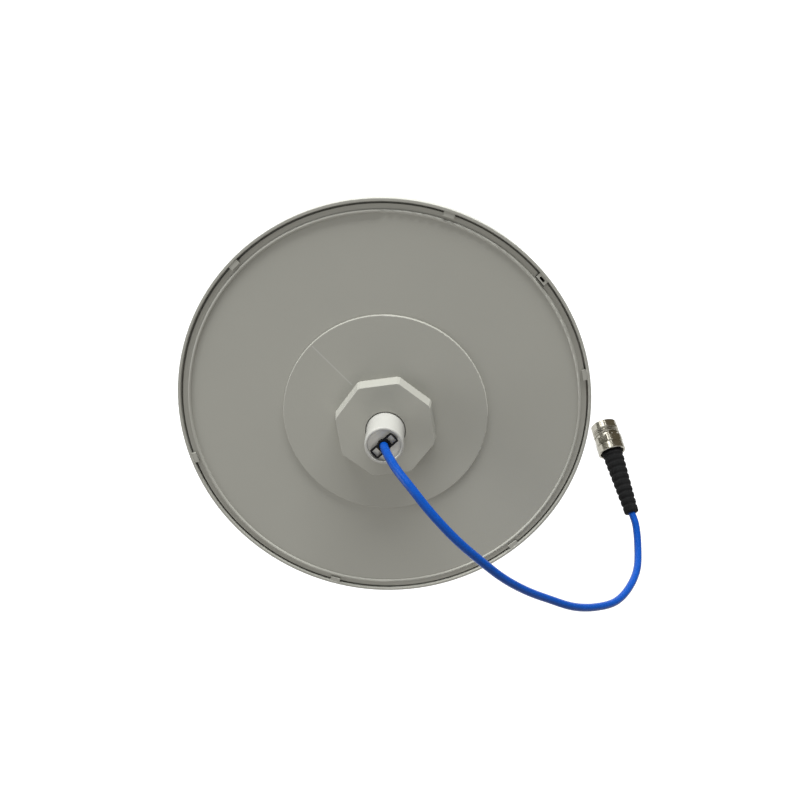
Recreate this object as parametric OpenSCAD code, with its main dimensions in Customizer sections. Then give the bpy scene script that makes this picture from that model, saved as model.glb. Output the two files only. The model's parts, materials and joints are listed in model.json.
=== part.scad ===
// Ceiling antenna. A round dome hangs below the ceiling, closed above by a snapped-in base plate.
// An octagonal turret on the plate carries a plain tube that goes up through the ceiling.
// The coax cable leaves the tube's end, bends over the rim and ends in a rubber boot and a jack.
// Millimetres. +Z points up along the tube. The origin is the centre of the turret's top face.

/* [Disc] */
// Outside diameter of the rim
disc_d = 206; // [190:1:240]
// Distance from the tube's axis to the disc's centre, along +Y
disc_off = 4.2; // [0:0.1:8]
// Wall of the rim's upright lip
lip_t = 1.4; // [1:0.1:2.5]
// Rounding of the lip's two top edges
lip_edge = 0.3; // [0.2:0.05:0.5]
// Height of the lip above the base plate
lip_rise = 1.4; // [1.2:0.1:4]
// Number of snap tabs round the lip
tab_n = 6; // [3:1:12]
// Angle of the first snap tab
tab_a = 12.5; // [0:0.5:60]
// Length of a snap tab along the lip
tab_l = 5.2; // [3:0.1:10]
// Reach of a snap tab inward from the lip
tab_w = 2.2; // [1.5:0.1:3]
// Thickness of a snap tab
tab_t = 1.1; // [0.8:0.1:1.2]
// Angle of the slotted key that stops the plate turning
key_a = 42.5; // [0:0.5:60]
// Length of the key along the lip
key_l = 5.6; // [4:0.1:10]
// Reach of the key inward from the lip
key_w = 2.6; // [2:0.1:3.2]
// Length of the slot in the key
slot_l = 3.2; // [2:0.1:3.4]
// Width of the slot in the key
slot_w = 1.2; // [0.6:0.1:1.4]

/* [Base plate] */
// Thickness of the plate
plate_t = 2.5; // [1.5:0.1:4]
// Distance from the key's notch in to the bead
bead_in = 0.3; // [0.2:0.1:3]
// Width of the bead
bead_w = 1.6; // [1:0.1:1.8]
// Height of the bead above the plate
bead_h = 0.9; // [0.6:0.1:2]
// Diameter of the raised round step
step_d = 102.6; // [80:0.2:140]
// Height of the round step
step_h = 1.2; // [1:0.1:4]
// Rounding of the step's edge
step_edge = 0.5; // [0.2:0.1:0.9]

/* [Turret] */
// Width across flats at the turret's foot
turret_af = 48.7; // [46:0.1:60]
// Narrowing of each flat from foot to top
turret_draft = 0.9; // [0:0.1:2]
// Height of the turret above the round step
turret_h = 8; // [7:0.1:16]
// Turn of the turret's flats from the Y axis
turret_turn = 7.5; // [-22:0.5:22]
// Wall and roof of the turret
turret_wall = 2.5; // [1.5:0.1:4]
// Bevel of the turret's top edge
turret_edge = 0.3; // [0.2:0.1:1]
// Cut of the turret's corners
turret_corner = 0.3; // [0.2:0.1:1.5]

/* [Tube] */
// Outside diameter of the tube
tube_d = 18.7; // [17:0.1:21]
// Added radius where the tube passes through the turret
tube_foot = 0.2; // [0.1:0.1:0.6]
// Wall of the tube
tube_wall = 2.4; // [1.5:0.1:3]
// Length of the tube above the turret
tube_up = 19.6; // [12:0.1:60]
// Rounding of the tube's end, outside
tube_edge = 0.8; // [0.2:0.1:1.2]
// Rounding of the tube's end, inside
tube_inner = 0.3; // [0.2:0.1:0.6]
// Depth of the recess at the tube's end
recess_h = 1.6; // [1:0.1:4]
// Wall of the tube round the recess
recess_wall = 1.4; // [1.2:0.1:1.8]
// Thickness of the web under the recess
web_t = 2; // [1:0.1:4]
// Reach of the tube's flange outside the tube
flange_w = 3.6; // [2.5:0.1:4.5]
// Thickness of the tube's flange
flange_t = 3; // [2:0.1:4]
// Thickness of the ring that holds the flange up
ring_t = 2.5; // [1.5:0.1:4]
// Angle of the cable clip across the recess
clip_a = 43; // [0:1:180]
// Width of the clip's two frames
clip_w = 5.6; // [5:0.1:8]
// Thickness of the clip
clip_h = 1.5; // [1:0.1:3]
// Width of the clip's bars
clip_bar = 1; // [0.8:0.1:1.4]

/* [Radome] */
// Height of the upright skirt at the rim
skirt_h = 9; // [8:0.1:20]
// Wall of the dome
dome_wall = 2.2; // [1.5:0.1:3]
// Radius of the shoulder between skirt and flank
shoulder_r = 30; // [20:0.5:34]
// Angle of the flank from upright
flank_a = 50; // [47:0.5:54]
// Radius of the rounded tip
tip_r = 48; // [40:0.5:52]
// Width of the ledge under the plate's edge
ledge_w = 3.6; // [2:0.1:6]
// Thickness of the ledge
ledge_t = 2; // [1:0.1:4]

/* [Radiator] */
// Distance of the ground plane's edge inside the ledge
plane_in = 11; // [6:0.5:20]
// Thickness of the ground plane
plane_t = 1.5; // [1:0.1:2]
// Length of the bosses that carry the ground plane
boss_h = 6.5; // [5:0.1:10]
// Diameter of the bosses
boss_d = 7; // [5:0.1:10]
// Number of bosses
boss_n = 6; // [3:1:8]
// Distance of the bosses inside the ground plane's edge
boss_in = 12; // [6:0.5:16]
// Thickness of the spacer between ground plane and cone
spacer_h = 3; // [2:0.1:6]
// Diameter of the spacer
spacer_d = 12; // [8:0.1:16]
// Diameter of the cone's hub
hub_d = 8; // [6:0.1:12]
// Height of the cone's hub
hub_h = 4; // [3:0.1:6]
// Diameter of the cone's flange
cone_d = 105; // [90:0.5:112]
// Width of the cone's flange
cone_flange = 11; // [10:0.1:14]
// Depth of the cone from hub to flange
cone_h = 30; // [24:0.5:34]
// Sheet thickness of the cone
cone_t = 1; // [0.6:0.1:1.5]
// Number of standoffs between ground plane and cone
standoff_n = 4; // [3:1:6]
// Diameter of the standoffs
standoff_d = 7; // [6:0.1:8]

/* [Cable] */
// Outside diameter of the cable's jacket
cable_d = 4.14; // [3.5:0.01:4.6]
// Diameter of the bared dielectric
core_d = 2.98; // [2.4:0.01:3.2]
// Diameter of the centre conductor
wire_d = 0.92; // [0.6:0.01:1.2]
// Wall of the brass ferrule on the ground plane
ferrule_t = 1; // [0.6:0.1:1.6]
// Length of that ferrule
ferrule_l = 9; // [6:0.5:10]
// Width of the ferrule's soldered foot
ferrule_foot = 3; // [2:0.1:5]
// Thickness of the ferrule's foot
ferrule_foot_t = 1.2; // [0.8:0.1:2]

/* [Boot and jack] */
// Length of the boot
boot_l = 44; // [34:0.5:56]
// Diameter of the boot at the cable
boot_d1 = 8.2; // [7.8:0.1:10]
// Diameter of the boot at the jack
boot_d2 = 12.2; // [11:0.1:13]
// Number of ribs on the boot
rib_n = 9; // [4:1:10]
// Depth of the grooves between ribs
groove_h = 0.5; // [0.3:0.1:0.8]
// Length of the boot's plain end at the jack
boot_plain = 2; // [1:0.1:4]
// Wall of the crimp sleeve
sleeve_t = 1.1; // [0.6:0.1:1.4]
// Length of the crimp sleeve inside the boot
sleeve_l = 9; // [5:0.5:14]
// Diameter of the jack's threaded barrel
barrel_d = 15.88; // [15.5:0.01:16.5]
// Length of the threaded barrel
barrel_l = 8.5; // [7:0.1:12]
// Bevel of the barrel's front end
barrel_edge = 0.5; // [0.2:0.1:1]
// Diameter of the neck behind the barrel
neck_d = 15; // [13.5:0.1:15.2]
// Length of the neck
neck_l = 1.5; // [1:0.1:3]
// Width across flats of the jack's hexagon
hex_af = 16; // [15.8:0.1:19]
// Length of the hexagon
hex_l = 5; // [4:0.1:8]
// Turned-off diameter at the hexagon's corners
hex_turn = 1.4; // [0.6:0.1:1.8]
// Bevel turned on the hexagon's two ends
hex_edge = 0.6; // [0.3:0.1:0.8]
// Diameter of the collar at the jack's rear
collar_d = 16.6; // [16.4:0.1:19]
// Bevel of the collar's two edges
collar_edge = 0.4; // [0.2:0.1:0.6]
// Length of the rear collar
collar_l = 5; // [4.5:0.1:8]
// Depth of the recess that takes the boot
socket_h = 3; // [2:0.1:3.4]
// Diameter of the jack's front bore
front_d = 8.1; // [7.8:0.1:8.6]
// Diameter of the jack's insulator
insul_d = 7; // [6.4:0.1:7.4]
// Diameter of the centre contact
contact_d = 3.04; // [2.8:0.01:3.2]
// Diameter of the contact's socket hole
contact_hole = 1.7; // [1.6:0.01:1.8]
// Depth of the contact's socket hole
contact_deep = 5; // [3:0.1:6]
// Distance of the contact's end inside the barrel's end
contact_in = 1.6; // [1:0.1:3]

/* [Clearances] */
// Gap between pieces that fit into each other
fit_gap = 0.05; // [0.02:0.01:0.1]
// Gap round the tube's foot in the turret's hole
tube_gap = 0.5; // [0.2:0.1:1]
// Gap between the plate's edge and the lip
edge_gap = 0.9; // [0.5:0.1:1.2]
// Gap round the key in the plate's notch
key_gap = 0.4; // [0.3:0.1:1]
// Gap between the key's top and the rim's
key_low = 0.3; // [0.1:0.1:1]
// Gap round the boot in the jack's recess
boot_gap = 1; // [0.5:0.1:1.2]
// Gap between the clip's ends and the recess's wall
clip_side = 0.75; // [0.3:0.05:1]
// Gap round the cable in its clip
clip_gap = 0.2; // [0.15:0.01:0.3]
// Gap round the cable in the tube's web
web_gap = 0.5; // [0.2:0.1:1]
// Gap round the cable in the tube's ring
ring_hole_gap = 3; // [2:0.1:4]
// Gap between the tube's ring and the turret's wall
ring_gap = 0.6; // [0.3:0.1:1]
// Gap between the tube's flange and the bosses beside it
flange_gap = 0.8; // [0.3:0.1:1]
// Gap between the cable's end and the ground plane
cable_lift = 0.3; // [0.1:0.1:1]
// Gap between a screw's end and its hole's end
screw_end = 0.5; // [0.3:0.1:1]
// Gap round a screw in a clearance hole
screw_gap = 0.2; // [0.1:0.05:0.4]

/* [Hidden] */
$fn = 96;
// Overlap of joined solids and overrun of cuts
eps = 0.02;
over = 1;
disc_r = disc_d / 2;
lip_r = disc_r - lip_t;
plate_r = lip_r - edge_gap;
bead_r = lip_r - key_w - key_gap - bead_in - bead_w / 2;
step_r = step_d / 2;
tube_r = tube_d / 2;
bore_r = tube_r - tube_wall;
recess_r = tube_r - recess_wall;
cable_r = cable_d / 2;

// Levels, from the turret's top down
step_z = -turret_h;
plate_z = step_z - step_h;
rim_z = plate_z + lip_rise;
lip_z = rim_z - lip_edge;
under_z = plate_z - plate_t;
roof_z = -turret_wall;
ring_z = roof_z - flange_t;
plane_z = under_z - boss_h;
spacer_z = plane_z - plane_t;
hub_z = spacer_z - spacer_h;
mouth_z = hub_z - hub_h - cone_h;
tip_z = tube_up - recess_h;

// Dome: the flank is a straight line that touches the shoulder's and the tip's arcs
shoulder_x = disc_r - shoulder_r;
shoulder_z = rim_z - skirt_h;
flank_x = shoulder_x + shoulder_r * cos(flank_a);
flank_z = shoulder_z - shoulder_r * sin(flank_a);
dome_cz = flank_z - (flank_x * cos(flank_a) - tip_r) / sin(flank_a);

// Screws: shank, head and head height
small_d = 2.5;
small_head = 4.6;
small_head_h = 1.6;
screw_d = 3;
screw_head = 5.6;
screw_head_h = 1.8;
screw_in = 7;

// Tube ring: its screws stand just outside the tube's flange, at the turret's corners
ring_screw_n = 4;
ring_boss_d = 5.4;
ring_hole_r = cable_r + ring_hole_gap;
flange_r = tube_r + flange_w;
ring_screw_r = flange_r + ring_boss_d / 2 + flange_gap;
ring_r = turret_af / 2 - turret_draft - turret_wall - ring_gap;

// Radiator
ledge_r = plate_r - ledge_w;
plane_r = ledge_r - plane_in;
boss_r = plane_r - boss_in;
cone_rim_r = cone_d / 2;
cone_r = cone_rim_r - cone_flange;
standoff_r = cone_rim_r - cone_flange / 2;

// Cable: free points from the tube's end to the boot
route = [
    [1.3, -0.5, 6],
    [3.4, -1.6, 12.5],
    [6.8, -4.1, 19.4],
    [12.8, -9.2, 26.4],
    [21.5, -18.6, 32.2],
    [32.5, -30.5, 34.9],
    [44.5, -43, 33.4],
    [56, -55, 29.4],
    [68, -65.5, 23.9],
    [81, -75, 17.4],
    [94.5, -83.5, 11.4],
    [108, -89.5, 3.4],
    [121.5, -93, -6.6],
    [132, -92.5, -19.1],
    [140, -89.5, -33.6],
    [143.8, -83.3, -48.5]];
// Where the cable enters the boot, and the way boot and jack point
boot_at = [143, -70, -64.6];
plug_az = 105;
plug_el = -50;
plug_dir = [cos(plug_el) * cos(plug_az), cos(plug_el) * sin(plug_az), sin(plug_el)];
// Straight run ahead of the boot, and the points in the tube and in the boot
boot_run = 8;
tube_points = 6;
boot_points = 5;
cable_sides = 12;
cable_end_z = plane_z + cable_lift;

// Jack: lengths from the boot's thin end
jack_z = boot_l - socket_h;
hex_z = jack_z + collar_l;
neck_z = hex_z + hex_l;
barrel_z = neck_z + neck_l;
nose_z = barrel_z + barrel_l;
insul_z = jack_z + collar_l;
front_z = neck_z + 0.5;
sleeve_r = cable_r + fit_gap + sleeve_t;
sleeve_z = jack_z - sleeve_l;
socket_r = boot_d2 / 2 + boot_gap;

// Places

module at_disc() {
    translate([0, disc_off, 0]) children();
}

module round_disc(n, r, a = 0) {
    for (i = [0 : n - 1])
        rotate(a + i * 360 / n) translate([r, 0, 0]) children();
}

// From the boot's thin end along the plug's axis
module at_plug() {
    translate(boot_place()) rotate([0, 90 - plug_el, plug_az]) children();
}

function boot_place() = boot_at + [0, 0, tube_up];

// Shared shapes

// Hole down through what lies between z = 0 and h
module hole(d, h) {
    translate([0, 0, -over]) cylinder(d = d, h = h + 2 * over);
}

module ring(d, inner, h) {
    difference() {
        cylinder(d = d, h = h);
        hole(inner, h);
    }
}

// Turned piece from z = 0 up, with its lower and upper edges bevelled
module turned(d, h, low, high) {
    r = d / 2;
    rotate_extrude()
        polygon([[0, 0], [r - low, 0], [r, low], [r, h - high], [r - high, h], [0, h]]);
}

// Screw with its head on z = 0 and its shank below
module screw(d, l, head, head_h) {
    difference() {
        union() {
            cylinder(d = head, h = head_h);
            translate([0, 0, -l]) cylinder(d = d, h = l + eps);
        }
        for (a = [0, 90])
            rotate(a) translate([-head / 4, -head / 16, head_h / 2]) cube([head / 2, head / 8, head_h]);
    }
}

// Octagonal frustum with turned corners, as wide as af at its foot
module octagon(af, draft, h) {
    foot_r = af / 2 / cos(22.5);
    top_r = (af / 2 - draft) / cos(22.5);
    rotate(turret_turn) intersection() {
        rotate(22.5) cylinder(r1 = foot_r, r2 = top_r, h = h, $fn = 8);
        cylinder(r1 = foot_r - turret_corner, r2 = top_r - turret_corner, h = h);
    }
}

// Block that reaches inward from the lip by w, centred on +X
module lip_block(w, l, h, root) {
    linear_extrude(height = h) intersection() {
        difference() {
            circle(r = lip_r + root);
            circle(r = lip_r - w);
        }
        translate([0, -l / 2]) square([disc_r, l]);
    }
}

// Radome

// Where an arc of radius r touches the flank
function flank_point(x, z, r) = [x + r * cos(flank_a), z - r * sin(flank_a)];

// Half section of the dome, t inside its outer face and up to where the lip's rounding starts
module dome_section(t) {
    intersection() {
        translate([0, -disc_d]) square([disc_d, disc_d + lip_z]);
        union() {
            translate([shoulder_x, shoulder_z]) circle(r = shoulder_r - t);
            translate([0, dome_cz]) circle(r = tip_r - t);
            polygon([[0, lip_z], [disc_r - t, lip_z], [disc_r - t, shoulder_z],
                flank_point(shoulder_x, shoulder_z, shoulder_r - t),
                flank_point(0, dome_cz, tip_r - t), [0, dome_cz]]);
        }
    }
}

module radome_section() {
    difference() {
        dome_section(0);
        intersection() {
            dome_section(dome_wall);
            translate([0, -disc_d]) square([disc_d, disc_d + under_z - ledge_t]);
        }
        translate([0, under_z - ledge_t - over]) square([ledge_r, ledge_t + plate_t + 2 * over]);
        translate([0, under_z]) square([lip_r, plate_t + lip_rise + over]);
    }
    for (x = [lip_r + lip_edge, disc_r - lip_edge])
        translate([x, lip_z]) circle(r = lip_edge);
    translate([lip_r + lip_edge, lip_z - lip_edge]) square([lip_t - 2 * lip_edge, 2 * lip_edge]);
}

module key() {
    key_h = rim_z - under_z - key_low;
    difference() {
        translate([0, 0, under_z - eps]) lip_block(key_w, key_l, key_h + eps, lip_t / 2);
        key_slot();
    }
}

// Slot down through the key and the ledge under it
module key_slot() {
    slot_y = (slot_l - slot_w) / 2;
    slot_h = ledge_t + plate_t + lip_rise + 2 * over;
    translate([lip_r - key_w / 2, 0, under_z - ledge_t - over]) {
        for (s = [-1, 1])
            translate([0, s * slot_y, 0]) cylinder(d = slot_w, h = slot_h);
        translate([-slot_w / 2, -slot_y, 0]) cube([slot_w, 2 * slot_y, slot_h]);
    }
}

module radome() {
    color("#dedcd5") at_disc() {
        difference() {
            rotate_extrude() radome_section();
            rotate(key_a) key_slot();
        }
        round_disc(tab_n, 0, tab_a)
            translate([0, 0, plate_z + fit_gap]) lip_block(tab_w, tab_l, tab_t, lip_t / 2);
        rotate(key_a) key();
    }
}

// Base plate

module plate_section() {
    difference() {
        union() {
            translate([0, under_z]) square([plate_r, plate_t]);
            translate([0, plate_z - eps]) square([step_r, step_h - step_edge + eps]);
            translate([0, plate_z]) square([step_r - step_edge, step_h]);
            translate([step_r - step_edge, step_z - step_edge]) circle(r = step_edge);
            translate([bead_r - bead_w / 2, plate_z - bead_w / 2]) square([bead_w, bead_h]);
            translate([bead_r, plate_z + bead_h - bead_w / 2]) circle(d = bead_w);
        }
        translate([-over, under_z - over]) square([step_r - plate_t + over, step_h + over]);
    }
}

module ring_boss_places() {
    round_disc(ring_screw_n, ring_screw_r, turret_turn + 22.5) children();
}

module boss_places() {
    round_disc(boss_n, boss_r, tab_a + 30) children();
}

// The turret goes down into the plate by the plate's thickness, with the same slope
module turret() {
    slope = turret_draft / turret_h;
    h = turret_h + plate_t - turret_edge;
    edge_af = turret_af - 2 * slope * (turret_h - turret_edge);
    translate([0, 0, -turret_edge - h]) octagon(edge_af + 2 * slope * h, slope * h, h);
    translate([0, 0, -turret_edge]) octagon(edge_af, turret_edge, turret_edge);
}

module turret_hollow() {
    af = turret_af - 2 * turret_draft - 2 * turret_wall;
    h = turret_h + plate_t + over;
    translate([0, 0, -h]) octagon(af, 0, h + roof_z);
}

module base_plate() {
    pilot_d = small_d + 2 * fit_gap;
    color("#d8d6cf") difference() {
        union() {
            difference() {
                union() {
                    at_disc() rotate_extrude() plate_section();
                    turret();
                }
                turret_hollow();
            }
            ring_boss_places() translate([0, 0, ring_z]) cylinder(d = ring_boss_d, h = flange_t + eps);
            at_disc() boss_places() translate([0, 0, plane_z]) cylinder(d = boss_d, h = boss_h + eps);
        }
        translate([0, 0, roof_z]) hole(2 * (tube_r + tube_foot + tube_gap), turret_wall);
        ring_boss_places() translate([0, 0, ring_z - over]) cylinder(d = pilot_d, h = flange_t + over);
        at_disc() boss_places() translate([0, 0, plane_z - over]) cylinder(d = pilot_d, h = boss_h + over);
        at_disc() rotate(key_a) translate([0, 0, under_z - over])
            lip_block(key_w + key_gap, key_l + 2 * key_gap, plate_t + lip_rise + 2 * over, 0);
    }
}

// Tube, its ring and the clip

module tube_section() {
    difference() {
        union() {
            translate([0, ring_z]) square([flange_r, flange_t]);
            translate([0, ring_z]) square([tube_r + tube_foot, -ring_z]);
            translate([0, ring_z]) square([tube_r, tube_up - tube_edge - ring_z]);
            translate([0, ring_z]) square([tube_r - tube_edge, tube_up - ring_z]);
            translate([tube_r - tube_edge, tube_up - tube_edge]) circle(r = tube_edge);
        }
        translate([-over, ring_z - over]) square([bore_r + over, tip_z - web_t - ring_z + over]);
        translate([-over, tip_z]) square([recess_r + over, recess_h + over]);
        translate([-over, ring_z]) square([cable_r + web_gap + over, tube_up - ring_z]);
        difference() {
            translate([recess_r - over, tube_up - tube_inner]) square(tube_inner + over);
            translate([recess_r + tube_inner, tube_up - tube_inner]) circle(r = tube_inner);
            translate([recess_r + tube_inner, tube_up - tube_inner]) square(over);
        }
    }
}

module mount_tube() {
    color("#f1f1ec") rotate_extrude() tube_section();
}

module tube_ring() {
    color("#3a3a3a") translate([0, 0, ring_z - ring_t]) difference() {
        cylinder(r = ring_r, h = ring_t);
        hole(2 * ring_hole_r, ring_t);
        ring_boss_places() hole(small_d + 2 * screw_gap, ring_t);
    }
}

module ring_screws() {
    color("#b9bcc0") ring_boss_places() translate([0, 0, ring_z - ring_t]) mirror([0, 0, 1])
        screw(small_d, ring_t + flange_t - screw_end, small_head, small_head_h);
}

// Bow-tie clip: a collar round the cable and a frame with a window on either side
module cable_clip() {
    clip_r = recess_r - clip_side;
    hole_r = cable_r + clip_gap;
    collar_r = hole_r + clip_bar;
    window_l = clip_r - clip_bar - collar_r;
    color("#141414") translate([0, 0, tip_z]) rotate(clip_a)
        linear_extrude(height = clip_h) difference() {
            intersection() {
                circle(r = clip_r);
                square([2 * clip_r, clip_w], center = true);
            }
            circle(r = hole_r);
            for (s = [-1, 1])
                translate([s * (collar_r + window_l / 2), 0])
                    square([window_l, clip_w - 2 * clip_bar], center = true);
        }
}

// Cable

function unit(v) = v / norm(v);

// Straight up the tube, along the free points, then straight into the boot
cable_end = insul_z - 2.2;
cable_points = concat(
    [for (i = [0 : tube_points]) [0, 0, cable_end_z + (tube_up - cable_end_z) * i / tube_points]],
    [for (p = route) p + [0, 0, tube_up]],
    [boot_place() - plug_dir * boot_run],
    [for (i = [0 : boot_points]) boot_place() + plug_dir * cable_end * i / boot_points]);

// Smooth curve through the points, two rings a stretch
function spot(i) = cable_points[max(0, min(len(cable_points) - 1, i))];
function between(i, t) = 0.5 * (2 * spot(i) + (spot(i + 1) - spot(i - 1)) * t
    + (2 * spot(i - 1) - 5 * spot(i) + 4 * spot(i + 1) - spot(i + 2)) * t * t
    + (3 * spot(i) - spot(i - 1) - 3 * spot(i + 1) + spot(i + 2)) * t * t * t);
last = len(cable_points) - 1;
line = concat([for (i = [0 : last - 1]) for (t = [0, 0.5]) between(i, t)], [spot(last)]);
rings = len(line);
function along(i) = i == 0 ? [0, 0, 1] : i == rings - 1 ? plug_dir : unit(line[i + 1] - line[i - 1]);
// A side direction that no stretch of the cable runs along
side = unit([1, 1, 0]);
function across(i) = unit(cross(along(i), side));
function ring_point(i, a) =
    line[i] + cable_r * (cos(a) * across(i) + sin(a) * cross(along(i), across(i)));

module cable() {
    n = cable_sides;
    points = [for (i = [0 : rings - 1]) for (k = [0 : n - 1]) ring_point(i, k * 360 / n)];
    walls = [for (i = [0 : rings - 2]) for (k = [0 : n - 1])
        [i * n + k, i * n + (k + 1) % n, (i + 1) * n + (k + 1) % n, (i + 1) * n + k]];
    foot = [for (k = [n - 1 : -1 : 0]) k];
    top = [for (k = [0 : n - 1]) (rings - 1) * n + k];
    color("#1d5bd0") polyhedron(points = points, faces = concat([foot], walls, [top]), convexity = 6);
}

// Feed and radiator

module feed_ferrule() {
    bore_d = cable_d + 2 * fit_gap;
    wall_d = bore_d + 2 * ferrule_t;
    color("#b8923a") translate([0, 0, plane_z]) {
        ring(wall_d, bore_d, ferrule_l);
        ring(wall_d + 2 * ferrule_foot, bore_d, ferrule_foot_t);
    }
}

module feed_core() {
    color("#f4f4f0") translate([0, 0, hub_z]) ring(core_d, wire_d + 2 * fit_gap, cable_end_z - hub_z);
}

module feed_wire() {
    wire_z = hub_z - hub_h;
    color("#c9ccd0") translate([0, 0, wire_z]) cylinder(d = wire_d, h = cable_end_z - wire_z);
}

module standoff_places() {
    round_disc(standoff_n, standoff_r, 45) children();
}

module ground_plane() {
    color("#c4c6c8") translate([0, 0, spacer_z]) difference() {
        at_disc() cylinder(r = plane_r, h = plane_t);
        hole(core_d + 2 * fit_gap, plane_t);
        at_disc() boss_places() hole(small_d + 2 * screw_gap, plane_t);
        standoff_places() hole(screw_d + 2 * screw_gap, plane_t);
    }
}

module plane_screws() {
    color("#b9bcc0") at_disc() boss_places() translate([0, 0, spacer_z]) mirror([0, 0, 1])
        screw(small_d, plane_t + boss_h - screw_end, small_head, small_head_h);
}

module feed_spacer() {
    color("#f4f4f0") translate([0, 0, hub_z]) ring(spacer_d, core_d + 2 * fit_gap, spacer_h);
}

module cone_section() {
    hub_r = hub_d / 2;
    wire_r = wire_d / 2 + fit_gap;
    foot_z = hub_z - hub_h;
    polygon([[wire_r, hub_z], [hub_r, hub_z], [hub_r, foot_z + cone_t], [cone_r, mouth_z + cone_t],
        [cone_rim_r, mouth_z + cone_t], [cone_rim_r, mouth_z], [cone_r - cone_t, mouth_z],
        [hub_r - cone_t, foot_z], [wire_r, foot_z]]);
}

module radiator_cone() {
    color("#c4c6c8") difference() {
        rotate_extrude() cone_section();
        standoff_places() translate([0, 0, mouth_z]) hole(screw_d + 2 * screw_gap, cone_t);
    }
}

module standoffs() {
    h = spacer_z - mouth_z - cone_t;
    color("#eceae2") standoff_places() translate([0, 0, mouth_z + cone_t]) difference() {
        cylinder(d = standoff_d, h = h);
        translate([0, 0, -over]) cylinder(d = screw_d + 2 * fit_gap, h = screw_in + over);
        translate([0, 0, h - screw_in]) cylinder(d = screw_d + 2 * fit_gap, h = screw_in + over);
    }
}

module standoff_screws() {
    into = screw_in - screw_end;
    color("#b9bcc0") standoff_places() {
        translate([0, 0, plane_z]) screw(screw_d, plane_t + into, screw_head, screw_head_h);
        translate([0, 0, mouth_z]) mirror([0, 0, 1])
            screw(screw_d, cone_t + into, screw_head, screw_head_h);
    }
}

// Boot and jack

// Half section of the boot: a taper with a groove behind each rib
module boot_section() {
    r1 = boot_d1 / 2;
    r2 = boot_d2 / 2;
    taper_l = jack_z - boot_plain;
    pitch = taper_l / (rib_n + 0.5);
    difference() {
        polygon([[0, 0], [r1, 0], [r2, taper_l], [r2, boot_l], [0, boot_l]]);
        translate([-over, -over]) square([cable_r + fit_gap + over, boot_l + 2 * over]);
        translate([-over, sleeve_z - fit_gap]) square([sleeve_r + fit_gap + over, boot_l]);
        for (i = [1 : rib_n])
            translate([r1 + (r2 - r1) * i / rib_n - groove_h, i * pitch])
                square([over + groove_h, pitch * 0.36]);
    }
}

module boot() {
    color("#202020") at_plug() rotate_extrude() boot_section();
}

module crimp_sleeve() {
    color("#b9bcc0") at_plug() translate([0, 0, sleeve_z])
        ring(2 * sleeve_r, cable_d + 2 * fit_gap, insul_z - sleeve_z);
}

module jack_body() {
    corner_d = hex_af / cos(30) - hex_turn;
    color("#b4b2ab") at_plug() difference() {
        union() {
            translate([0, 0, jack_z]) turned(collar_d, collar_l, collar_edge, collar_edge);
            translate([0, 0, hex_z - eps]) intersection() {
                cylinder(d = hex_af / cos(30), h = hex_l + eps, $fn = 6);
                turned(corner_d, hex_l + eps, hex_edge, hex_edge);
            }
            translate([0, 0, neck_z - eps]) cylinder(d = neck_d, h = neck_l + 2 * eps);
            translate([0, 0, barrel_z]) turned(barrel_d, barrel_l, 0, barrel_edge);
        }
        translate([0, 0, jack_z - over]) cylinder(r = socket_r, h = socket_h + over);
        translate([0, 0, jack_z]) cylinder(r = sleeve_r + fit_gap, h = collar_l + eps);
        translate([0, 0, insul_z]) cylinder(d = insul_d + 2 * fit_gap, h = front_z - insul_z + eps);
        translate([0, 0, front_z]) cylinder(d = front_d, h = nose_z - front_z + over);
    }
}

module jack_insulator() {
    color("#f4f4f0") at_plug() translate([0, 0, insul_z])
        ring(insul_d, contact_d + 2 * fit_gap, front_z - insul_z);
}

module jack_contact() {
    tip = nose_z - contact_in;
    color("#c9a24a") at_plug() difference() {
        translate([0, 0, insul_z]) cylinder(d = contact_d, h = tip - insul_z);
        translate([0, 0, tip - contact_deep]) cylinder(d = contact_hole, h = contact_deep + over);
    }
}

radome();
base_plate();
mount_tube();
tube_ring();
ring_screws();
cable_clip();
cable();
feed_ferrule();
feed_core();
feed_wire();
ground_plane();
plane_screws();
feed_spacer();
radiator_cone();
standoffs();
standoff_screws();
boot();
crimp_sleeve();
jack_body();
jack_insulator();
jack_contact();
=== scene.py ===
"""Ceiling antenna: the finish of every surface, the cable at its real length and the studio it is seen in."""
import json
import math

import bpy
from bpy.props import FloatProperty, FloatVectorProperty, IntProperty, PointerProperty
from mathutils import Matrix, Vector

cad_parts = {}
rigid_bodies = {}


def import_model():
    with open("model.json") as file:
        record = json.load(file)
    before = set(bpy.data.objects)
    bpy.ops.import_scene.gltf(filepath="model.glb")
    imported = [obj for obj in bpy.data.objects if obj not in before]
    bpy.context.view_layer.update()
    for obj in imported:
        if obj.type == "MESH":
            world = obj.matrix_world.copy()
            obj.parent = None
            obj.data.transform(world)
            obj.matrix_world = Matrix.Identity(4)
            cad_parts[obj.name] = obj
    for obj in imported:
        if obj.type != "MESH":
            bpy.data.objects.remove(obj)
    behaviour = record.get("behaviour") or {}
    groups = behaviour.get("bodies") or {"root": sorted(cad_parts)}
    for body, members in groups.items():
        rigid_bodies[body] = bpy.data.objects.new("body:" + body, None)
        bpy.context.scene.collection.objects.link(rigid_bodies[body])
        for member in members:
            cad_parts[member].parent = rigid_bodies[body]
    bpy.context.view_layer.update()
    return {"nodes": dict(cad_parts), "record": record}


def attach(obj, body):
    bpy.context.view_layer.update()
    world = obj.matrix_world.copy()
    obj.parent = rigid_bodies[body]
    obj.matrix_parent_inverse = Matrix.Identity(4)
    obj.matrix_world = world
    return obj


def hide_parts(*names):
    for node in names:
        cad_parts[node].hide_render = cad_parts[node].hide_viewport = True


bl_info = {
    "name": "Ceiling antenna",
    "version": (1, 0, 0),
    "blender": (4, 5, 0),
    "location": "3D View > Sidebar > Antenna",
    "description": "Dresses the packed ceiling antenna and sets its studio",
    "category": "Object",
}

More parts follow.
